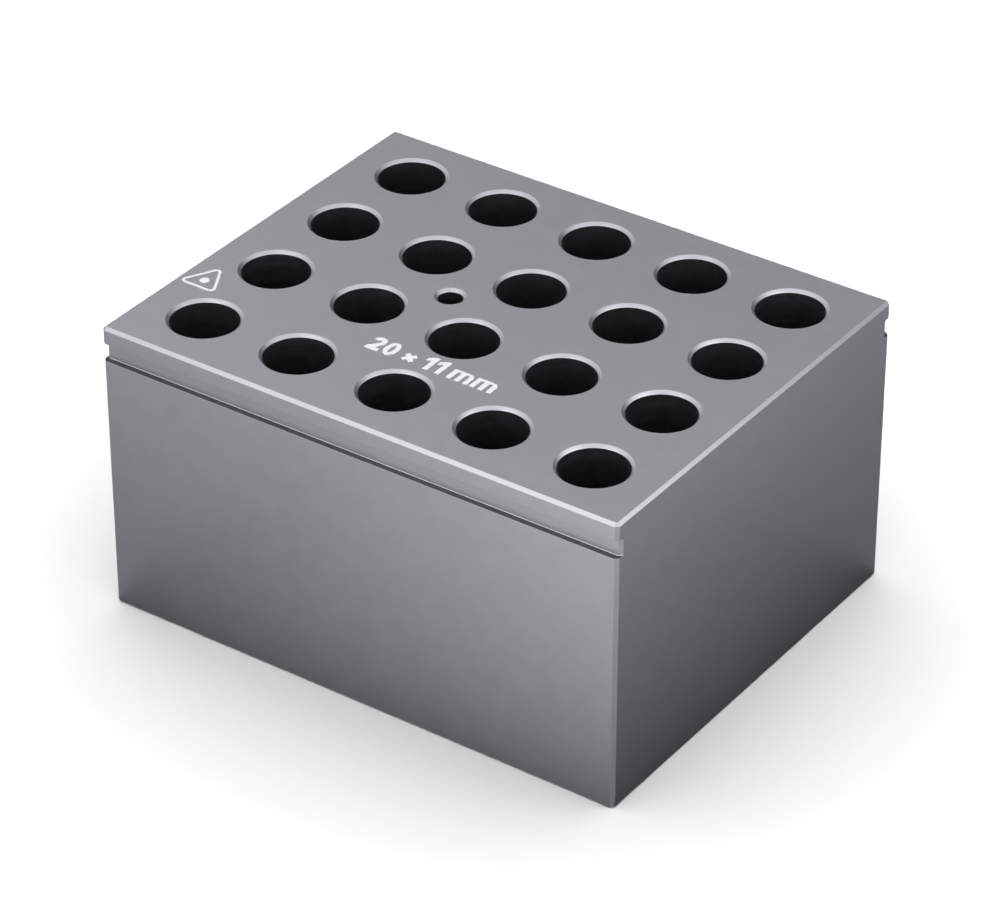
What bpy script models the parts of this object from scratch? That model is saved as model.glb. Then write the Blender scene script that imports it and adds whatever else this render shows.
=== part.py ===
"""Heating block insert of a dry block heater: one aluminium block with a grid of tapered
tube wells, a sensor bore, two extraction grooves and a printed marking.

Frame: origin at the centre of the base, +X along the long side, +Y to the back, +Z up.
Lengths are written in millimetres and turned into metres by MM.
"""
import math

import bmesh
import bpy

MM = 0.001

# Block
WIDTH = 95.0
DEPTH = 76.0
HEIGHT = 51.0
TOP_CHAMFER = 0.5
CORNER_CHAMFER = 0.6
TOP_CORNER = 0.15           # what the top chamfer leaves of the corner cut in the top face
BASE_CHAMFER = 0.3

# Extraction groove, along the whole front face and the whole back face
GROOVE_DEPTH = 1.0
GROOVE_TOP = 2.9            # below the top face
GROOVE_BOTTOM = 6.0         # below the top face
GROOVE_FILLET = 0.3         # both inner corners

# Wells for 1.5 ml tubes: a straight mouth, a cone that follows the tube, a drilled tip
COLUMNS = 5
ROWS = 4
PITCH = 18.0
WELL_RADIUS = 5.5
WELL_COUNTERSINK = 0.5
WELL_STRAIGHT = 19.5
WELL_TIP_RADIUS = 2.2
WELL_CONE_END = 36.5
WELL_DEPTH = 37.5
WELL_SEGMENTS = 24

# Bore for a temperature sensor, between the four wells left of the middle column
SENSOR_X = -PITCH / 2
SENSOR_RADIUS = 2.0
SENSOR_COUNTERSINK = 0.5
SENSOR_STRAIGHT = 34.0
SENSOR_DEPTH = 35.2
SENSOR_SEGMENTS = 16

# Marking: a thin printed film, held a touching gap above the top face
PRINT_GAP = 0.3
PRINT_THICKNESS = 0.1

# Letter shapes, in cap heights
CAP_HEIGHT = 3.8
STROKE = 0.22
DIGIT_WIDTH = 0.62
ONE_WIDTH = 0.46
X_HEIGHT = 0.74
M_PITCH = 0.4
M_WIDTH = 2 * M_PITCH + STROKE
TIMES_WIDTH = 0.6
LETTER_GAP = 0.11
WORD_GAP = 0.34
TEXT_START_X = -11.1
TEXT_BASE_Y = -19.7
ARC_STEPS = 8

# Corner mark: a rounded triangle that points to the back, with a dot in it
MARK_CENTRE_X = -43.05
MARK_BASE_Y = -20.3
MARK_WIDTH = 7.4            # across the sharp corners, before they are rounded
MARK_HEIGHT = 7.0
MARK_STROKE = 0.48
MARK_CORNER = 0.85
MARK_DOT_RADIUS = 0.8
DOT_SEGMENTS = 24

SMOOTH_ANGLE = math.radians(30)
CUT_CLEARANCE = 1.0         # how far a cutter stands above the top face


def clear_scene():
    for obj in list(bpy.data.objects):
        bpy.data.objects.remove(obj, do_unlink=True)


def make_material(name, colour, metallic, roughness):
    material = bpy.data.materials.new(name)
    material.use_nodes = True
    shader = material.node_tree.nodes["Principled BSDF"]
    shader.inputs["Base Color"].default_value = (*colour, 1.0)
    shader.inputs["Metallic"].default_value = metallic
    shader.inputs["Roughness"].default_value = roughness
    return material


def add_object(name, bm, material):
    """Write the bmesh, whose points are in millimetres, to a new object in metres."""
    bmesh.ops.scale(bm, vec=(MM, MM, MM), verts=bm.verts)
    bmesh.ops.recalc_face_normals(bm, faces=bm.faces)
    mesh = bpy.data.meshes.new(name)
    bm.to_mesh(mesh)
    bm.free()
    mesh.materials.append(material)
    obj = bpy.data.objects.new(name, mesh)
    bpy.context.scene.collection.objects.link(obj)
    return obj


def stack_loops(bm, loops):
    """Join equal-length rings of points, bottom to top, and close both ends."""
    rings = [[bm.verts.new(point) for point in loop] for loop in loops]
    count = len(rings[0])
    for lower, upper in zip(rings, rings[1:]):
        for i in range(count):
            j = (i + 1) % count
            bm.faces.new((lower[i], lower[j], upper[j], upper[i]))
    bm.faces.new(list(reversed(rings[0])))
    bm.faces.new(rings[-1])


def block_outline(z, inset, corner=CORNER_CHAMFER):
    """Rectangle with its four corners cut at 45 degrees."""
    half_x = WIDTH / 2 - inset
    half_y = DEPTH / 2 - inset
    cut_x = half_x - corner
    cut_y = half_y - corner
    return [
        (-cut_x, -half_y, z), (cut_x, -half_y, z),
        (half_x, -cut_y, z), (half_x, cut_y, z),
        (cut_x, half_y, z), (-cut_x, half_y, z),
        (-half_x, cut_y, z), (-half_x, -cut_y, z),
    ]


def groove_outline(z, depth, side):
    """What a groove takes away, in plan; it turns the block's corner cuts inwards with it.

    side is -1 for the front face and 1 for the back face.
    """
    wall_x = WIDTH / 2 - CORNER_CHAMFER
    wall_y = DEPTH / 2 - depth
    end_x = WIDTH / 2 + CUT_CLEARANCE
    end_y = wall_y - (end_x - wall_x)
    outside_y = DEPTH / 2 + CUT_CLEARANCE
    plan = [
        (-end_x, outside_y), (end_x, outside_y), (end_x, end_y),
        (wall_x, wall_y), (-wall_x, wall_y), (-end_x, end_y),
    ]
    return [(x, side * y, z) for x, y in plan]


def turned_ring(x, y, radius, z, segments):
    angles = (2 * math.pi * i / segments for i in range(segments))
    return [(x + radius * math.cos(a), y + radius * math.sin(a), z) for a in angles]


def add_turned_cutter(bm, x, y, profile, segments):
    """Solid of revolution about a vertical axis; the profile runs bottom to top."""
    stack_loops(bm, [turned_ring(x, y, radius, z, segments) for radius, z in profile])


def well_profile():
    mouth = WELL_RADIUS + WELL_COUNTERSINK + CUT_CLEARANCE
    tip = WELL_DEPTH - WELL_CONE_END
    return [
        (WELL_TIP_RADIUS - tip, HEIGHT - WELL_DEPTH),
        (WELL_TIP_RADIUS, HEIGHT - WELL_CONE_END),
        (WELL_RADIUS, HEIGHT - WELL_STRAIGHT),
        (WELL_RADIUS, HEIGHT - WELL_COUNTERSINK),
        (mouth, HEIGHT + CUT_CLEARANCE),
    ]


def sensor_profile():
    mouth = SENSOR_RADIUS + SENSOR_COUNTERSINK + CUT_CLEARANCE
    flat_radius = SENSOR_RADIUS - (SENSOR_DEPTH - SENSOR_STRAIGHT)
    return [
        (flat_radius, HEIGHT - SENSOR_DEPTH),
        (SENSOR_RADIUS, HEIGHT - SENSOR_STRAIGHT),
        (SENSOR_RADIUS, HEIGHT - SENSOR_COUNTERSINK),
        (mouth, HEIGHT + CUT_CLEARANCE),
    ]


def well_centres():
    for row in range(ROWS):
        for column in range(COLUMNS):
            x = (column - (COLUMNS - 1) / 2) * PITCH
            y = (row - (ROWS - 1) / 2) * PITCH
            yield x, y


def make_block(material):
    bm = bmesh.new()
    stack_loops(bm, [
        block_outline(0.0, BASE_CHAMFER),
        block_outline(BASE_CHAMFER, 0.0),
        block_outline(HEIGHT - TOP_CHAMFER, 0.0),
        block_outline(HEIGHT, TOP_CHAMFER, TOP_CORNER),
    ])
    block = add_object("heating_block", bm, material)

    ledge = HEIGHT - GROOVE_BOTTOM
    ceiling = HEIGHT - GROOVE_TOP
    cutters = bmesh.new()
    for side in (-1, 1):
        stack_loops(cutters, [
            groove_outline(ledge, GROOVE_DEPTH - GROOVE_FILLET, side),
            groove_outline(ledge + GROOVE_FILLET, GROOVE_DEPTH, side),
            groove_outline(ceiling - GROOVE_FILLET, GROOVE_DEPTH, side),
            groove_outline(ceiling, GROOVE_DEPTH - GROOVE_FILLET, side),
        ])
    for x, y in well_centres():
        add_turned_cutter(cutters, x, y, well_profile(), WELL_SEGMENTS)
    add_turned_cutter(cutters, SENSOR_X, 0.0, sensor_profile(), SENSOR_SEGMENTS)
    cutter = add_object("bore_cutter", cutters, material)
    cutter.hide_render = True
    cutter.display_type = "WIRE"

    cut = block.modifiers.new("bores", "BOOLEAN")
    cut.operation = "DIFFERENCE"
    cut.solver = "EXACT"
    cut.object = cutter
    block.data.shade_smooth()
    block.data.set_sharp_from_angle(angle=SMOOTH_ANGLE)
    cutter.data.shade_smooth()
    cutter.data.set_sharp_from_angle(angle=SMOOTH_ANGLE)
    return block


def arc(x, y, radius_x, radius_y, start, end, steps=ARC_STEPS):
    """Points along an ellipse, from one angle to another in degrees."""
    points = []
    for i in range(steps + 1):
        angle = math.radians(start + (end - start) * i / steps)
        points.append((x + radius_x * math.cos(angle), y + radius_y * math.sin(angle)))
    return points


def digit_two():
    radius = DIGIT_WIDTH / 2
    inner = radius - STROKE
    top_y = 1 - radius
    outline = arc(radius, top_y, radius, radius, 170, -38)
    outline += [(0.38, STROKE), (DIGIT_WIDTH, STROKE), (DIGIT_WIDTH, 0), (0, 0), (0, 0.9 * STROKE)]
    outline += arc(radius, top_y, inner, inner, -38, 170)
    return outline, None


def digit_zero():
    radius = DIGIT_WIDTH / 2
    outline = arc(radius, 0.5, radius, 0.5, 0, 360, 4 * ARC_STEPS)[:-1]
    counter = arc(radius, 0.5, radius - STROKE, 0.5 - 0.9 * STROKE, 0, 360, 4 * ARC_STEPS)[:-1]
    return outline, counter


def digit_one():
    bar = ONE_WIDTH - STROKE
    outline = [(bar, 0), (ONE_WIDTH, 0), (ONE_WIDTH, 1), (bar + 0.06, 1), (0, 0.81), (0, 0.59), (bar, 0.7)]
    return outline, None


def times_sign():
    """A plus sign turned by 45 degrees, centred on the small letters' height."""
    half = STROKE / 2
    reach = TIMES_WIDTH / math.sqrt(2) - half
    plus = [
        (half, half), (half, reach), (-half, reach), (-half, half), (-reach, half), (-reach, -half),
        (-half, -half), (-half, -reach), (half, -reach), (half, -half), (reach, -half), (reach, half),
    ]
    turn = math.sqrt(0.5)
    outline = [
        (TIMES_WIDTH / 2 + turn * (x - y), X_HEIGHT / 2 + turn * (x + y))
        for x, y in plus
    ]
    return outline, None


def letter_m():
    shoulder = 0.28
    counter = (M_PITCH - STROKE) / 2
    outline = [(0, 0), (0, X_HEIGHT)]
    outline += arc(M_WIDTH - shoulder, X_HEIGHT - shoulder, shoulder, shoulder, 90, 0)
    outline += [(M_WIDTH, 0)]
    for k in (1, 0):
        left = k * M_PITCH + STROKE
        outline += [(left + 2 * counter, 0)]
        outline += arc(left + counter, X_HEIGHT - STROKE, counter, counter, 0, 180)
        outline += [(left, 0)]
    return outline, None


LETTERS = (                 # node, shape, width, space that follows
    ("print_digit_2", digit_two, DIGIT_WIDTH, LETTER_GAP),
    ("print_digit_0", digit_zero, DIGIT_WIDTH, WORD_GAP),
    ("print_times", times_sign, TIMES_WIDTH, WORD_GAP),
    ("print_digit_1_left", digit_one, ONE_WIDTH, LETTER_GAP),
    ("print_digit_1_right", digit_one, ONE_WIDTH, WORD_GAP),
    ("print_m_left", letter_m, M_WIDTH, LETTER_GAP),
    ("print_m_right", letter_m, M_WIDTH, 0.0),
)


def add_film(name, outline, hole, material):
    """Extrude a flat outline, in millimetres, into a film; a hole has as many points as it."""
    bottom = HEIGHT + PRINT_GAP
    top = bottom + PRINT_THICKNESS
    bm = bmesh.new()
    if hole is None:
        stack_loops(bm, [[(x, y, z) for x, y in outline] for z in (bottom, top)])
    else:
        rings = [
            [bm.verts.new((x, y, z)) for x, y in points]
            for points, z in ((outline, bottom), (outline, top), (hole, top), (hole, bottom))
        ]
        count = len(outline)
        for k, ring in enumerate(rings):
            following = rings[(k + 1) % len(rings)]
            for i in range(count):
                j = (i + 1) % count
                bm.faces.new((ring[i], ring[j], following[j], following[i]))
    return add_object(name, bm, material)


def make_letters(material):
    x = TEXT_START_X
    for name, shape, width, space in LETTERS:
        placed = []
        for points in shape():
            if points is not None:
                points = [(x + px * CAP_HEIGHT, TEXT_BASE_Y + py * CAP_HEIGHT) for px, py in points]
            placed.append(points)
        add_film(name, placed[0], placed[1], material)
        x += (width + space) * CAP_HEIGHT


def rounded_triangle(radius):
    """The corner mark's edge, anticlockwise from its left corner.

    With MARK_CORNER as the radius it is the outer edge; a smaller radius moves it inwards.
    """
    left = (MARK_CENTRE_X - MARK_WIDTH / 2, MARK_BASE_Y)
    right = (MARK_CENTRE_X + MARK_WIDTH / 2, MARK_BASE_Y)
    apex = (MARK_CENTRE_X, MARK_BASE_Y + MARK_HEIGHT)
    base_angle = math.degrees(math.atan2(MARK_HEIGHT, MARK_WIDTH / 2))
    points = []
    for corner, start, end in (
        (left, 90 + base_angle, 270),
        (right, 270, 450 - base_angle),
        (apex, 90 - base_angle, 90 + base_angle),
    ):
        middle = math.radians((start + end) / 2)
        reach = MARK_CORNER / math.cos(math.radians(end - start) / 2)
        x = corner[0] - reach * math.cos(middle)
        y = corner[1] - reach * math.sin(middle)
        points += arc(x, y, radius, radius, start, end)
    return points


def make_corner_mark(material):
    """A rounded triangle with an even stroke, and a dot at its incentre."""
    side = math.hypot(MARK_WIDTH / 2, MARK_HEIGHT)
    inradius = MARK_WIDTH / 2 * MARK_HEIGHT / (MARK_WIDTH / 2 + side)
    centre_y = MARK_BASE_Y + inradius
    outer = rounded_triangle(MARK_CORNER)
    inner = rounded_triangle(MARK_CORNER - MARK_STROKE)
    add_film("print_corner_triangle", outer, inner, material)
    dot = arc(MARK_CENTRE_X, centre_y, MARK_DOT_RADIUS, MARK_DOT_RADIUS, 0, 360, DOT_SEGMENTS)[:-1]
    add_film("print_corner_dot", dot, None, material)


def main():
    clear_scene()
    aluminium = make_material("satin_aluminium", (0.29, 0.295, 0.31), 1.0, 0.42)
    ink = make_material("white_print", (0.86, 0.86, 0.86), 0.0, 0.5)
    make_block(aluminium)
    make_letters(ink)
    make_corner_mark(ink)


main()
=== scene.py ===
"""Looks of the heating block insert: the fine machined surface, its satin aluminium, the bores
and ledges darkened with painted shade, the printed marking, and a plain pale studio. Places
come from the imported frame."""
import math

import bmesh
import bpy
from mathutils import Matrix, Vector


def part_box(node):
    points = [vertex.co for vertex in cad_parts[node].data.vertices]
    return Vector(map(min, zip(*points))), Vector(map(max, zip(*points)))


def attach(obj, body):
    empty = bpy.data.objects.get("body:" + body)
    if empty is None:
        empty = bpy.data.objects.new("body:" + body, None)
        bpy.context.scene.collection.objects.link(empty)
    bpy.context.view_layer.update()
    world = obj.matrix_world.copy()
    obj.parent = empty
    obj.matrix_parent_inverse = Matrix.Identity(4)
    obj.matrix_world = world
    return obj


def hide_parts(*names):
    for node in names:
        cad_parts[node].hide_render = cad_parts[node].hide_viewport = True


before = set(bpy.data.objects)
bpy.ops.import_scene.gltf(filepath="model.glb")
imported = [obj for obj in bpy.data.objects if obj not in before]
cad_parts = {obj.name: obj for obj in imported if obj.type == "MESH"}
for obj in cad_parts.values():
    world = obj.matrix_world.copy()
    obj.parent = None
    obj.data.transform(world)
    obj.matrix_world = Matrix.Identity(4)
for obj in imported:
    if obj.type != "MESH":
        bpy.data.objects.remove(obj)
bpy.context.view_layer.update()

MM = 0.001

# Block, from the frame
BLOCK_LOW, BLOCK_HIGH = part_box("heating_block")
WIDTH, DEPTH, HEIGHT = BLOCK_HIGH - BLOCK_LOW
TOP = BLOCK_HIGH.z

# Edge breaks and grooves
TOP_CHAMFER = 0.5 * MM
CORNER_CHAMFER = 0.6 * MM
TOP_CORNER = 0.15 * MM          # what the top chamfer leaves of the corner cut
BASE_CHAMFER = 0.3 * MM
GROOVE_DEPTH = 1.0 * MM
GROOVE_TOP = 2.9 * MM
GROOVE_BOTTOM = 6.0 * MM
LEDGE_FILLET = 0.18 * MM
CEILING_FILLET = 0.3 * MM
FILLET_STEPS = 4
BURNISHED_EDGE = 0.04 * MM      # every machined edge is rounded by the blasting
CUT_CLEARANCE = 1.0 * MM

# Wells and sensor bore
COLUMNS, ROWS, PITCH = 5, 4, 18.0 * MM
WELL_RADIUS = 5.5 * MM
WELL_COUNTERSINK = 0.5 * MM
WELL_STRAIGHT = 19.5 * MM
WELL_TIP_RADIUS = 2.2 * MM
WELL_CONE_END = 36.5 * MM
WELL_DEPTH = 37.5 * MM
WELL_SEGMENTS = 96
SENSOR_X = -PITCH / 2
SENSOR_RADIUS = 2.0 * MM
SENSOR_COUNTERSINK = 0.5 * MM
SENSOR_STRAIGHT = 34.0 * MM
SENSOR_DEPTH = 35.2 * MM
SENSOR_SEGMENTS = 64

SMOOTH_ANGLE = math.radians(25)

# Which metal a face gets: the satin outside is slot 0
# painted shade: slots 1 and 2 are dark metals that paint the shade in the bores and on the
# groove ledges
BORE_PAINTED_SHADE, LEDGE_PAINTED_SHADE = 1, 2
FACES_UP = 0.8                  # least height of a normal that counts as facing up
LEDGE_MARGIN = 0.01 * MM
BORE_MARGIN = 0.02 * MM


# Geometry helpers ---------------------------------------------------------------------------

def link(name, mesh, materials):
    for material in materials:
        mesh.materials.append(material)
    obj = bpy.data.objects.new(name, mesh)
    bpy.context.scene.collection.objects.link(obj)
    return obj


def mesh_from(name, bm):
    bmesh.ops.recalc_face_normals(bm, faces=bm.faces)
    mesh = bpy.data.meshes.new(name)
    bm.to_mesh(mesh)
    bm.free()
    return mesh


def stack_loops(bm, loops):
    """Join equal-length rings of points, bottom to top, and close both ends."""
    rings = [[bm.verts.new(point) for point in loop] for loop in loops]
    count = len(rings[0])
    for lower, upper in zip(rings, rings[1:]):
        for i in range(count):
            j = (i + 1) % count
            bm.faces.new((lower[i], lower[j], upper[j], upper[i]))
    bm.faces.new(list(reversed(rings[0])))
    bm.faces.new(rings[-1])


def bake_modifiers(obj):
    """Replace an object's mesh by what its modifiers make of it."""
    graph = bpy.context.evaluated_depsgraph_get()
    mesh = bpy.data.meshes.new_from_object(obj.evaluated_get(graph), depsgraph=graph)
    obj.modifiers.clear()
    obj.data = mesh


# The block ----------------------------------------------------------------------------------

def block_outline(z, inset, corner=CORNER_CHAMFER):
    half_x, half_y = WIDTH / 2 - inset, DEPTH / 2 - inset
    cut_x, cut_y = half_x - corner, half_y - corner
    return [
        (-cut_x, -half_y, z), (cut_x, -half_y, z),
        (half_x, -cut_y, z), (half_x, cut_y, z),
        (cut_x, half_y, z), (-cut_x, half_y, z),
        (-half_x, cut_y, z), (-half_x, -cut_y, z),
    ]


def groove_outline(z, depth, side):
    """What a groove takes away, in plan; the block's corner cuts turn inwards with it."""
    wall_x, wall_y = WIDTH / 2 - CORNER_CHAMFER, DEPTH / 2 - depth
    end_x = WIDTH / 2 + CUT_CLEARANCE
    end_y = wall_y - (end_x - wall_x)
    outside_y = DEPTH / 2 + CUT_CLEARANCE
    plan = [
        (-end_x, outside_y), (end_x, outside_y), (end_x, end_y),
        (wall_x, wall_y), (-wall_x, wall_y), (-end_x, end_y),
    ]
    return [(x, side * y, z) for x, y in plan]


def add_turned_cutter(bm, x, y, profile, segments):
    """Solid of revolution about a vertical axis; the profile runs bottom to top."""
    angles = [2 * math.pi * i / segments for i in range(segments)]
    stack_loops(bm, [
        [(x + r * math.cos(a), y + r * math.sin(a), z) for a in angles]
        for r, z in profile
    ])


def well_profile():
    tip = WELL_DEPTH - WELL_CONE_END
    return [
        (WELL_TIP_RADIUS - tip, TOP - WELL_DEPTH),
        (WELL_TIP_RADIUS, TOP - WELL_CONE_END),
        (WELL_RADIUS, TOP - WELL_STRAIGHT),
        (WELL_RADIUS, TOP - WELL_COUNTERSINK),
        (WELL_RADIUS + WELL_COUNTERSINK + CUT_CLEARANCE, TOP + CUT_CLEARANCE),
    ]


def sensor_profile():
    return [
        (SENSOR_RADIUS - (SENSOR_DEPTH - SENSOR_STRAIGHT), TOP - SENSOR_DEPTH),
        (SENSOR_RADIUS, TOP - SENSOR_STRAIGHT),
        (SENSOR_RADIUS, TOP - SENSOR_COUNTERSINK),
        (SENSOR_RADIUS + SENSOR_COUNTERSINK + CUT_CLEARANCE, TOP + CUT_CLEARANCE),
    ]


def bores():
    """Axis, wall radius and countersink of every hole in the top face."""
    for row in range(ROWS):
        for column in range(COLUMNS):
            x = (column - (COLUMNS - 1) / 2) * PITCH
            y = (row - (ROWS - 1) / 2) * PITCH
            yield x, y, WELL_RADIUS, WELL_COUNTERSINK
    yield SENSOR_X, 0.0, SENSOR_RADIUS, SENSOR_COUNTERSINK


def paint_recess_shade(mesh):
    """Paint shade on the bore walls and the grooves' ledges: they get dark metals for the shade
    that falls in them.
    """
    ledge = TOP - GROOVE_BOTTOM
    for face in mesh.polygons:
        x, y, z = face.center
        # painted shade: the up-facing ledge and the lower fillet steps under the overhang get
        # the darkest metal
        if face.normal.z > FACES_UP and ledge - LEDGE_MARGIN < z < ledge + LEDGE_FILLET:
            face.material_index = LEDGE_PAINTED_SHADE
        # painted shade: the bore walls below the countersink get the dark metal
        for bore_x, bore_y, radius, countersink in bores():
            inside = math.hypot(x - bore_x, y - bore_y) < radius + BORE_MARGIN
            if inside and BLOCK_LOW.z + MM < z < TOP - countersink:
                face.material_index = BORE_PAINTED_SHADE


def make_block(metals):
    bm = bmesh.new()
    base = BLOCK_LOW.z
    stack_loops(bm, [
        block_outline(base, BASE_CHAMFER),
        block_outline(base + BASE_CHAMFER, 0.0),
        block_outline(TOP - TOP_CHAMFER, 0.0),
        block_outline(TOP, TOP_CHAMFER, TOP_CORNER),
    ])
    block = link("machined_block", mesh_from("machined_block", bm), metals)

    ledge, ceiling = TOP - GROOVE_BOTTOM, TOP - GROOVE_TOP
    cutters = bmesh.new()
    for side in (-1, 1):
        turns = [math.radians(90 * k / FILLET_STEPS) for k in range(FILLET_STEPS + 1)]
        stack_loops(cutters, [
            *(groove_outline(ledge + LEDGE_FILLET * (1 - math.cos(turn)),
                             GROOVE_DEPTH - LEDGE_FILLET * (1 - math.sin(turn)), side)
              for turn in turns),
            *(groove_outline(ceiling - CEILING_FILLET * (1 - math.sin(turn)),
                             GROOVE_DEPTH - CEILING_FILLET * (1 - math.cos(turn)), side)
              for turn in turns),
        ])
    for x, y, radius, _ in bores():
        if radius == WELL_RADIUS:
            add_turned_cutter(cutters, x, y, well_profile(), WELL_SEGMENTS)
        else:
            add_turned_cutter(cutters, x, y, sensor_profile(), SENSOR_SEGMENTS)
    cutter = link("cutter", mesh_from("cutter", cutters), [])

    cut = block.modifiers.new("cuts", "BOOLEAN")
    cut.operation = "DIFFERENCE"
    cut.solver = "EXACT"
    cut.object = cutter
    bake_modifiers(block)
    bpy.data.objects.remove(cutter)

    edge = block.modifiers.new("burnished_edges", "BEVEL")
    edge.width = BURNISHED_EDGE
    edge.segments = 2
    edge.limit_method = "ANGLE"
    edge.angle_limit = SMOOTH_ANGLE
    flat = block.modifiers.new("flat_faces", "WEIGHTED_NORMAL")     # the large faces stay flat
    flat.mode = "FACE_AREA"
    block.data.shade_smooth()
    bake_modifiers(block)
    paint_recess_shade(block.data)
    return block


# The printed marking ------------------------------------------------------------------------

PRINT_THICKNESS = 0.02 * MM
CAP_HEIGHT = 3.8 * MM
STROKE = 0.22                   # letter shapes are in cap heights
THIN_STROKE = 0.9 * STROKE
DIGIT_WIDTH = 0.62
BOWL_START, BOWL_END = 170, -38     # the two's bowl, in degrees
DIAGONAL_FOOT = 0.38            # where the two's diagonal meets its foot
ONE_WIDTH = 0.46
ONE_SLANT = 0.06                # how far the one's flag starts right of its stem
FLAG_TOP, FLAG_BOTTOM, FLAG_ROOT = 0.81, 0.59, 0.7
X_HEIGHT = 0.74
M_PITCH = 0.4
M_WIDTH = 2 * M_PITCH + STROKE
M_SHOULDER = 0.28
TIMES_WIDTH = 0.6
ARC_STEPS = 24
MARK_WIDTH = 7.4 * MM
MARK_HEIGHT = 7.0 * MM
MARK_STROKE = 0.48 * MM
MARK_CORNER = 0.85 * MM


def arc(x, y, radius_x, radius_y, start, end, steps=ARC_STEPS):
    """Points along an ellipse, from one angle to another in degrees."""
    points = []
    for i in range(steps + 1):
        angle = math.radians(start + (end - start) * i / steps)
        points.append((x + radius_x * math.cos(angle), y + radius_y * math.sin(angle)))
    return points


def digit_two():
    radius = DIGIT_WIDTH / 2
    inner = radius - STROKE
    top_y = 1 - radius
    outline = arc(radius, top_y, radius, radius, BOWL_START, BOWL_END)
    outline += [
        (DIAGONAL_FOOT, STROKE), (DIGIT_WIDTH, STROKE), (DIGIT_WIDTH, 0),
        (0, 0), (0, THIN_STROKE),
    ]
    outline += arc(radius, top_y, inner, inner, BOWL_END, BOWL_START)
    return outline, None


def digit_zero():
    radius = DIGIT_WIDTH / 2
    steps = 4 * ARC_STEPS
    outline = arc(radius, 0.5, radius, 0.5, 0, 360, steps)[:-1]
    counter = arc(radius, 0.5, radius - STROKE, 0.5 - THIN_STROKE, 0, 360, steps)[:-1]
    return outline, counter


def digit_one():
    bar = ONE_WIDTH - STROKE
    outline = [
        (bar, 0), (ONE_WIDTH, 0), (ONE_WIDTH, 1), (bar + ONE_SLANT, 1),
        (0, FLAG_TOP), (0, FLAG_BOTTOM), (bar, FLAG_ROOT),
    ]
    return outline, None


def times_sign():
    """A plus sign turned by 45 degrees, centred on the small letters' height."""
    half = STROKE / 2
    reach = TIMES_WIDTH / math.sqrt(2) - half
    plus = [
        (half, half), (half, reach), (-half, reach), (-half, half),
        (-reach, half), (-reach, -half), (-half, -half), (-half, -reach),
        (half, -reach), (half, -half), (reach, -half), (reach, half),
    ]
    turn = math.sqrt(0.5)
    outline = [
        (TIMES_WIDTH / 2 + turn * (x - y), X_HEIGHT / 2 + turn * (x + y))
        for x, y in plus
    ]
    return outline, None


def letter_m():
    counter = (M_PITCH - STROKE) / 2
    outline = [(0, 0), (0, X_HEIGHT)]
    outline += arc(M_WIDTH - M_SHOULDER, X_HEIGHT - M_SHOULDER, M_SHOULDER, M_SHOULDER, 90, 0)
    outline += [(M_WIDTH, 0)]
    for k in (1, 0):
        left = k * M_PITCH + STROKE
        outline += [(left + 2 * counter, 0)]
        outline += arc(left + counter, X_HEIGHT - STROKE, counter, counter, 0, 180)
        outline += [(left, 0)]
    return outline, None


LETTERS = (
    ("print_digit_2", digit_two),
    ("print_digit_0", digit_zero),
    ("print_times", times_sign),
    ("print_digit_1_left", digit_one),
    ("print_digit_1_right", digit_one),
    ("print_m_left", letter_m),
    ("print_m_right", letter_m),
)


def make_film(node, outline, hole, ink):
    """An ink film that lies on the top face and stands for the CAD node's raised one."""
    bottom, top = TOP, TOP + PRINT_THICKNESS
    bm = bmesh.new()
    if hole is None:
        stack_loops(bm, [[(x, y, z) for x, y in outline] for z in (bottom, top)])
    else:
        rings = [
            [bm.verts.new((x, y, z)) for x, y in points]
            for points, z in ((outline, bottom), (outline, top), (hole, top), (hole, bottom))
        ]
        count = len(outline)
        for k, ring in enumerate(rings):
            following = rings[(k + 1) % len(rings)]
            for i in range(count):
                j = (i + 1) % count
                bm.faces.new((ring[i], ring[j], following[j], following[i]))
    name = node.replace("print_", "ink_")
    film = link(name, mesh_from(name, bm), [ink])
    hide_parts(node)
    return film


def make_letter(node, shape, ink):
    """Put a letter's lower left corner where the CAD node's is."""
    low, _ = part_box(node)
    outline, hole = shape()
    left = min(x for x, _ in outline)
    base = min(y for _, y in outline)

    def place(points):
        return [
            (low.x + (x - left) * CAP_HEIGHT, low.y + (y - base) * CAP_HEIGHT)
            for x, y in points
        ]

    return make_film(node, place(outline), hole and place(hole), ink)


def make_corner_mark(ink):
    """A rounded triangle with an even stroke, which points to the back, and its dot."""
    low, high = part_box("print_corner_triangle")
    centre_x = (low.x + high.x) / 2
    base_y = low.y
    base_angle = math.degrees(math.atan2(MARK_HEIGHT, MARK_WIDTH / 2))
    outer, inner = [], []
    for x, y, start, end in (
        (centre_x - MARK_WIDTH / 2, base_y, 90 + base_angle, 270),
        (centre_x + MARK_WIDTH / 2, base_y, 270, 450 - base_angle),
        (centre_x, base_y + MARK_HEIGHT, 90 - base_angle, 90 + base_angle),
    ):
        middle = math.radians((start + end) / 2)
        reach = MARK_CORNER / math.cos(math.radians(end - start) / 2)
        arc_x, arc_y = x - reach * math.cos(middle), y - reach * math.sin(middle)
        for edge, radius in ((outer, MARK_CORNER), (inner, MARK_CORNER - MARK_STROKE)):
            edge += arc(arc_x, arc_y, radius, radius, start, end)
    dot_low, dot_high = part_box("print_corner_dot")
    radius = (dot_high.x - dot_low.x) / 2
    dot_x, dot_y = (dot_low.x + dot_high.x) / 2, (dot_low.y + dot_high.y) / 2
    dot = arc(dot_x, dot_y, radius, radius, 0, 360, 2 * ARC_STEPS)[:-1]
    return [
        make_film("print_corner_triangle", outer, inner, ink),
        make_film("print_corner_dot", dot, None, ink),
    ]


# Materials ----------------------------------------------------------------------------------

SATIN_COLOUR = (0.507, 0.515, 0.546)
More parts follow.
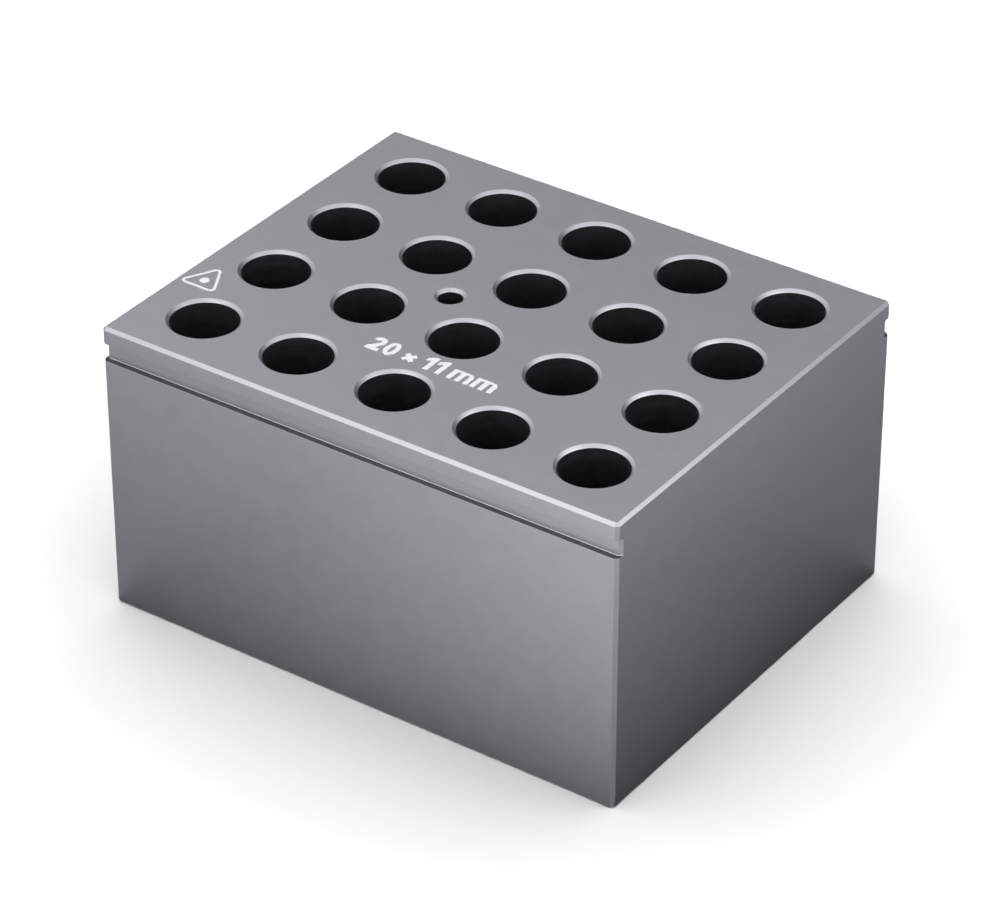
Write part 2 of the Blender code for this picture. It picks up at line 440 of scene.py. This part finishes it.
# painted shade: this dark colour stands in for the shade inside the bores and on the ledges
PAINTED_SHADE_COLOUR = (0.126, 0.131, 0.138)
# painted shade: the ledges, in the overhang's shadow, are painted darker than the bores
LEDGE_SHADE_LEVEL = 0.75              # the ledges are darker still than the bores
INK_COLOUR = (0.68, 0.685, 0.695)
NOISE_RANGE = (0.25, 0.75)      # where nearly all of a noise's values lie


class Nodes:
    """Short calls for building one material's node tree."""

    def __init__(self, name):
        self.material = bpy.data.materials.new(name)
        self.material.use_nodes = True
        self.tree = self.material.node_tree
        self.shader = self.tree.nodes["Principled BSDF"]

    def add(self, kind, **settings):
        node = self.tree.nodes.new(kind)
        for key, value in settings.items():
            setattr(node, key, value)
        return node

    def join(self, source, target):
        self.tree.links.new(source, target)

    def coordinates(self, scale):
        """Object coordinates, stretched by a scale per axis, in cells per metre."""
        place = self.add("ShaderNodeTexCoord")
        stretch = self.add("ShaderNodeMapping")
        stretch.inputs["Scale"].default_value = scale
        self.join(place.outputs["Object"], stretch.inputs["Vector"])
        return stretch.outputs["Vector"]

    def noise(self, scale, detail=2.0, roughness=0.5):
        """Noise with a value of about 0.5 on average; scale is cells per metre, per axis."""
        texture = self.add("ShaderNodeTexNoise")
        texture.inputs["Scale"].default_value = 1.0
        texture.inputs["Detail"].default_value = detail
        texture.inputs["Roughness"].default_value = roughness
        self.join(self.coordinates(scale), texture.inputs["Vector"])
        return texture.outputs["Fac"]

    def spread(self, value, low, high, to_low, to_high):
        node = self.add("ShaderNodeMapRange")
        node.inputs["From Min"].default_value = low
        node.inputs["From Max"].default_value = high
        node.inputs["To Min"].default_value = to_low
        node.inputs["To Max"].default_value = to_high
        self.join(value, node.inputs["Value"])
        return node.outputs["Result"]

    def math(self, operation, first, second):
        node = self.add("ShaderNodeMath", operation=operation)
        for socket, value in zip(node.inputs, (first, second)):
            if isinstance(value, (int, float)):
                socket.default_value = value
            else:
                self.join(value, socket)
        return node.outputs["Value"]

    def tint(self, colour, factor):
        """A colour times a varying factor."""
        node = self.add("ShaderNodeVectorMath", operation="SCALE")
        node.inputs[0].default_value = colour
        self.join(factor, node.inputs["Scale"])
        return node.outputs["Vector"]

    def bump(self, height, distance, strength, after=None):
        node = self.add("ShaderNodeBump")
        node.inputs["Distance"].default_value = distance
        node.inputs["Strength"].default_value = strength
        self.join(height, node.inputs["Height"])
        if after is not None:
            self.join(after, node.inputs["Normal"])
        return node.outputs["Normal"]


def satin_aluminium():
    """Bead-blasted, clear-anodised aluminium: fine grain over the last traces of milling."""
    nodes = Nodes("satin_aluminium")
    grain = nodes.noise((6000, 6000, 6000), detail=2)
    speckle = nodes.noise((2200, 2200, 2200), detail=3, roughness=0.7)
    mottle = nodes.noise((380, 380, 380), detail=4, roughness=0.6)
    cloud = nodes.noise((24, 24, 24), detail=3)
    milling = nodes.noise((30, 2400, 2400), detail=2)

    shade = nodes.math("MULTIPLY", nodes.spread(mottle, *NOISE_RANGE, 0.985, 1.015),
                       nodes.spread(cloud, 0.3, 0.7, 0.992, 1.008))
    shade = nodes.math("MULTIPLY", shade, nodes.spread(speckle, *NOISE_RANGE, 0.977, 1.023))
    shade = nodes.math("MULTIPLY", shade, nodes.spread(grain, 0.2, 0.8, 0.958, 1.042))
    nodes.join(nodes.tint(SATIN_COLOUR, shade), nodes.shader.inputs["Base Color"])
    rough = nodes.math("ADD", nodes.spread(mottle, *NOISE_RANGE, -0.013, 0.013),
                       nodes.spread(milling, *NOISE_RANGE, 0.44, 0.46))
    rough = nodes.math("ADD", rough, nodes.spread(speckle, *NOISE_RANGE, -0.016, 0.016))
    nodes.join(rough, nodes.shader.inputs["Roughness"])
    normal = nodes.bump(milling, 0.002 * MM, 0.5)
    normal = nodes.bump(grain, 0.009 * MM, 0.7, normal)
    nodes.join(normal, nodes.shader.inputs["Normal"])
    nodes.shader.inputs["Metallic"].default_value = 1.0
    return nodes.material


def painted_shade_aluminium(name, level):
    """Dark metal for painted shade in the bores and on the ledges, with the fine rings that the
    tool leaves.
    """
    nodes = Nodes(name)
    rings = nodes.noise((60, 60, 5200), detail=2)
    mottle = nodes.noise((500, 500, 500), detail=3)
    shade = nodes.math("MULTIPLY", nodes.spread(mottle, *NOISE_RANGE, 0.85, 1.15),
                       nodes.spread(rings, *NOISE_RANGE, 0.85, 1.15))
    colour = tuple(part * level for part in PAINTED_SHADE_COLOUR)
    nodes.join(nodes.tint(colour, shade), nodes.shader.inputs["Base Color"])
    nodes.join(nodes.spread(rings, *NOISE_RANGE, 0.38, 0.5), nodes.shader.inputs["Roughness"])
    nodes.join(nodes.bump(rings, 0.01 * MM, 0.5), nodes.shader.inputs["Normal"])
    nodes.shader.inputs["Metallic"].default_value = 1.0
    return nodes.material


def white_ink():
    """Matt white screen ink, slightly uneven in cover."""
    nodes = Nodes("white_ink")
    cover = nodes.noise((2600, 2600, 2600), detail=3)
    nodes.join(nodes.tint(INK_COLOUR, nodes.spread(cover, *NOISE_RANGE, 0.95, 1.03)),
               nodes.shader.inputs["Base Color"])
    nodes.join(nodes.spread(cover, *NOISE_RANGE, 0.5, 0.62), nodes.shader.inputs["Roughness"])
    nodes.join(nodes.bump(cover, 0.004 * MM, 0.4), nodes.shader.inputs["Normal"])
    return nodes.material


# Studio -------------------------------------------------------------------------------------

CENTRE = Vector((0.0, 0.0, HEIGHT / 2))
WHITE = (1.0, 1.0, 1.0)
CAMERA_AZIMUTH, CAMERA_ELEVATION, CAMERA_DISTANCE = 35.01, 32.99, 0.6949
CAMERA_RIGHT, CAMERA_UP = 0.303 * MM, 0.243 * MM    # slides the view a little
LENS, SENSOR_WIDTH = 159.65, 36.0                   # in millimetres
FLOOR_HALF = 5.0
FLOOR_GAP = 0.02 * MM           # keeps the floor clear of the block's base
FLOOR_COLOUR = (0.9, 0.9, 0.9, 1.0)
FLOOR_ROUGHNESS = 0.9
SKY_ANGLE = 110                 # the overhead light is as wide as a big softbox
SKY_POWER = 4.1

# The metal's reflections. A card lies on the floor around the block: dark at its foot, brighter
# further out, and brighter to the right than to the left.
CARD_REACH = 4.0
CARD_RINGS = 48                 # closer together near the block
CARD_SPACING = 3
CARD_SIDE_STEPS = 8
CARD_TURN_STEP = 10             # degrees round a corner
CARD_LIFT = 0.1 * MM
CARD_COLOUR = (0.983, 0.99, 1.02)       # a little cool
CARD_BASE = 0.084
CARD_GAIN = 1.42
CARD_LENGTH = 0.14
CARD_TILT = 0.35
CARD_CORNERS = (0.26, 0.15)     # a little light near the upright edges, front and back
CARD_CORNER_LENGTH = 0.02
# Near and far level on the right, left and back, against the front.
CARD_SIDES = ((0.145, 0.457), (0.78, 0.195), (0.78, 0.195))
# Two round soft panels: azimuth, elevation, distance, radius and strength.
PANELS = (
    (90, 18, 0.120, 0.056, 1.7),
    (352, 18, 0.183, 0.102, 1.5),
)
PANEL_EDGE = 2.2                # how many radii out the panel's mesh ends
PANEL_MIDDLE = 0.02             # the first ring, in ring steps, leaves a pinhole
PANEL_RINGS = 14
PANEL_SEGMENTS = 48
# The dome: even, with a dark flag behind the block and a wide soft light above.
DOME_LEVEL = 0.83
DOME_PATCHES = (                # azimuth, elevation, sharpness and strength
    (189, 2, 6.1, -2.5),
    (227, 75, 3.0, 0.45),
)


def make_camera():
    """Long lens from the front right, looking down on the block."""
    back = towards(CAMERA_AZIMUTH, CAMERA_ELEVATION)
    right = Vector((0, 0, 1)).cross(back).normalized()
    up = back.cross(right)
    data = bpy.data.cameras.new("camera")
    data.sensor_width = SENSOR_WIDTH
    data.lens = LENS
    data.clip_start, data.clip_end = 0.01, 50.0
    camera = bpy.data.objects.new("camera", data)
    camera.rotation_mode = "QUATERNION"
    camera.rotation_quaternion = back.to_track_quat("Z", "Y")
    camera.location = CENTRE + back * CAMERA_DISTANCE + right * CAMERA_RIGHT + up * CAMERA_UP
    bpy.context.scene.collection.objects.link(camera)
    bpy.context.scene.camera = camera


def make_floor():
    """A pale matt floor, clear from below. The metal reflects the card in its place."""
    material = bpy.data.materials.new("pale_floor")
    material.use_nodes = True
    tree = material.node_tree
    shader = tree.nodes["Principled BSDF"]
    shader.inputs["Base Color"].default_value = FLOOR_COLOUR
    shader.inputs["Roughness"].default_value = FLOOR_ROUGHNESS
    shader.inputs["Specular IOR Level"].default_value = 0.0
    side = tree.nodes.new("ShaderNodeMixShader")
    geometry = tree.nodes.new("ShaderNodeNewGeometry")
    tree.links.new(geometry.outputs["Backfacing"], side.inputs["Fac"])
    tree.links.new(shader.outputs["BSDF"], side.inputs[1])
    clear = tree.nodes.new("ShaderNodeBsdfTransparent")
    tree.links.new(clear.outputs["BSDF"], side.inputs[2])
    tree.links.new(side.outputs["Shader"], tree.nodes["Material Output"].inputs["Surface"])
    height = BLOCK_LOW.z - FLOOR_GAP
    bm = bmesh.new()
    bm.faces.new([bm.verts.new((x * FLOOR_HALF, y * FLOOR_HALF, height)) for x, y in
                  ((-1, -1), (1, -1), (1, 1), (-1, 1))])
    mesh = mesh_from("floor", bm)
    if mesh.polygons[0].normal.z < 0:
        mesh.flip_normals()
    floor = link("floor", mesh, [material])
    floor.visible_glossy = False


def towards(azimuth, elevation):
    """Direction from the block; azimuth 0 is the front and 90 the right, in degrees."""
    a, e = math.radians(azimuth), math.radians(elevation)
    return Vector((math.sin(a) * math.cos(e), -math.cos(a) * math.cos(e), math.sin(e)))


def glow_material(see_through, colour):
    """Light given off by a mesh, as strong as its "glow" attribute says."""
    material = bpy.data.materials.new("card_glow")
    material.use_nodes = True
    tree = material.node_tree
    tree.nodes.clear()
    glow = tree.nodes.new("ShaderNodeAttribute")
    glow.attribute_name = "glow"
    surface = tree.nodes.new("ShaderNodeEmission")
    tree.links.new(glow.outputs["Fac"], surface.inputs["Strength"])
    surface.inputs["Color"].default_value = (*colour, 1.0)
    if see_through:
        clear = tree.nodes.new("ShaderNodeBsdfTransparent")
        both = tree.nodes.new("ShaderNodeAddShader")
        tree.links.new(clear.outputs[0], both.inputs[0])
        tree.links.new(surface.outputs[0], both.inputs[1])
        surface = both
    output = tree.nodes.new("ShaderNodeOutputMaterial")
    tree.links.new(surface.outputs[0], output.inputs["Surface"])
    return material


def add_card(name, rings, see_through, colour):
    """A mesh of closed rings of (place, glow), seen by nothing but reflections."""
    bm = bmesh.new()
    layer = bm.verts.layers.float.new("glow")
    made = []
    for ring in rings:
        verts = []
        for place, glow in ring:
            vert = bm.verts.new(place)
            vert[layer] = glow
            verts.append(vert)
        made.append(verts)
    for inner, outer in zip(made, made[1:]):
        for i in range(len(inner)):
            j = (i + 1) % len(inner)
            bm.faces.new((inner[i], outer[i], outer[j], inner[j]))
    card = link(name, mesh_from(name, bm), [glow_material(see_through, colour)])
    card.visible_camera = False
    card.visible_diffuse = False
    card.visible_shadow = False


def floor_glow(x, distance, way):
    """How bright the floor card is at a place across, a distance and a way from the block."""
    front, back = max(-way.y, 0) ** 2, max(way.y, 0) ** 2
    right, left = max(way.x, 0) ** 2, max(-way.x, 0) ** 2
    tilt = 1 + CARD_TILT * max(-1, min(1, x / (WIDTH / 2)))
    near = far = front * tilt
    for share, (near_level, far_level) in zip((right, left, back), CARD_SIDES):
        near += share * near_level
        far += share * far_level
    corner = CARD_CORNERS[way.y > 0] * abs(2 * way.x * way.y)
    corner *= math.exp(-distance / CARD_CORNER_LENGTH)
    rise = 1 - math.exp(-distance / CARD_LENGTH)
    return CARD_BASE * near + corner + CARD_GAIN * far * rise


def make_floor_card():
    """Rings that grow out of the block's footprint, straight sides first, corners rounded."""
    sides = [k / CARD_SIDE_STEPS for k in range(CARD_SIDE_STEPS)]
    turns = [math.radians(a) for a in range(0, 90, CARD_TURN_STEP)]
    rings = []
    for k in range(CARD_RINGS + 1):
        distance = CARD_REACH * (k / CARD_RINGS) ** CARD_SPACING
        ring = []
        corners = ((1, -1), (1, 1), (-1, 1), (-1, -1))
        for number, (sx, sy) in enumerate(corners):
            corner = Vector((sx * WIDTH / 2, sy * DEPTH / 2, BLOCK_LOW.z + CARD_LIFT))
            following = corners[(number + 1) % 4]
            end = Vector((following[0] * WIDTH / 2, following[1] * DEPTH / 2, corner.z))
            first = math.radians(-90 + 90 * number)
            places = [(corner, first + turn) for turn in turns]
            places += [(corner.lerp(end, share), first + math.pi / 2) for share in sides]
            for base, angle in places:
                way = Vector((math.cos(angle), math.sin(angle), 0.0))
                place = base + way * distance
                ring.append((place, floor_glow(place.x, distance, way)))
        rings.append(ring)
    add_card("floor_card", rings, False, CARD_COLOUR)


def make_panel(azimuth, elevation, distance, radius, strength):
    """A round panel of light that fades out towards its edge."""
    way = towards(azimuth, elevation)
    centre = way * distance + Vector((0.0, 0.0, HEIGHT))
    across = way.cross(Vector((0.0, 0.0, 1.0))).normalized()
    upward = across.cross(way)
    rings = []
    for k in range(PANEL_RINGS + 1):
        reach = PANEL_EDGE * max(k, PANEL_MIDDLE) / PANEL_RINGS
        glow = strength * math.exp(-reach ** 2)
        ring = []
        for i in range(PANEL_SEGMENTS):
            angle = 2 * math.pi * i / PANEL_SEGMENTS
            out = across * math.cos(angle) + upward * math.sin(angle)
            ring.append((centre + out * reach * radius, glow))
        rings.append(ring)
    add_card("soft_panel", rings, True, WHITE)


def make_world():
    """The dome that the metal reflects. It lights nothing else."""
    world = bpy.data.worlds.new("studio")
    world.use_nodes = True
    tree = world.node_tree
    tree.nodes.clear()
    add = tree.nodes.new
    direction = add("ShaderNodeTexCoord").outputs["Generated"]

    def math_node(operation, first, second):
        node = add("ShaderNodeMath")
        node.operation = operation
        for socket, value in zip(node.inputs, (first, second)):
            if isinstance(value, (int, float)):
                socket.default_value = value
            else:
                tree.links.new(value, socket)
        return node.outputs["Value"]

    total = DOME_LEVEL
    for azimuth, elevation, sharpness, strength in DOME_PATCHES:
        along = add("ShaderNodeVectorMath")
        along.operation = "DOT_PRODUCT"
        tree.links.new(direction, along.inputs[0])
        along.inputs[1].default_value = towards(azimuth, elevation)
        short = math_node("SUBTRACT", along.outputs["Value"], 1.0)
        fall = math_node("MULTIPLY", short, sharpness)
        patch = math_node("MULTIPLY", math_node("EXPONENT", fall, 0.0), strength)
        total = math_node("ADD", patch, total)
    backdrop = add("ShaderNodeLightPath").outputs["Is Camera Ray"]  # seen directly it is white
    background = add("ShaderNodeBackground")
    background.inputs["Color"].default_value = (*WHITE, 1.0)
    tree.links.new(math_node("MAXIMUM", total, backdrop), background.inputs["Strength"])
    output = add("ShaderNodeOutputWorld")
    tree.links.new(background.outputs["Background"], output.inputs["Surface"])
    world.cycles_visibility.diffuse = False
    bpy.context.scene.world = world


def make_sky_light():
    """Wide soft light from straight above, for the floor and the ink."""
    data = bpy.data.lights.new("sky_light", "SUN")
    data.energy = SKY_POWER
    data.angle = math.radians(SKY_ANGLE)
    data.cycles.use_multiple_importance_sampling = False
    light = bpy.data.objects.new("sky_light", data)
    light.location = (0.0, 0.0, 1.0)
    light.visible_glossy = False
    bpy.context.scene.collection.objects.link(light)


def build():
    ink = white_ink()
    block = make_block([
        satin_aluminium(),
        # painted shade: dark metals for the bores and the groove ledges
        painted_shade_aluminium("bore_painted_shade", 1.0),
        painted_shade_aluminium("ledge_painted_shade", LEDGE_SHADE_LEVEL),
    ])
    block.visible_diffuse = False       # it shades the floor, but throws no glints on it
    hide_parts("heating_block")
    films = [make_letter(node, shape, ink) for node, shape in LETTERS]
    films += make_corner_mark(ink)
    for piece in [block, *films]:
        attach(piece, "root")


build()
make_camera()
make_floor()
make_floor_card()
for panel in PANELS:
    make_panel(*panel)
make_world()
make_sky_light()
bpy.context.scene.view_settings.view_transform = "Standard"
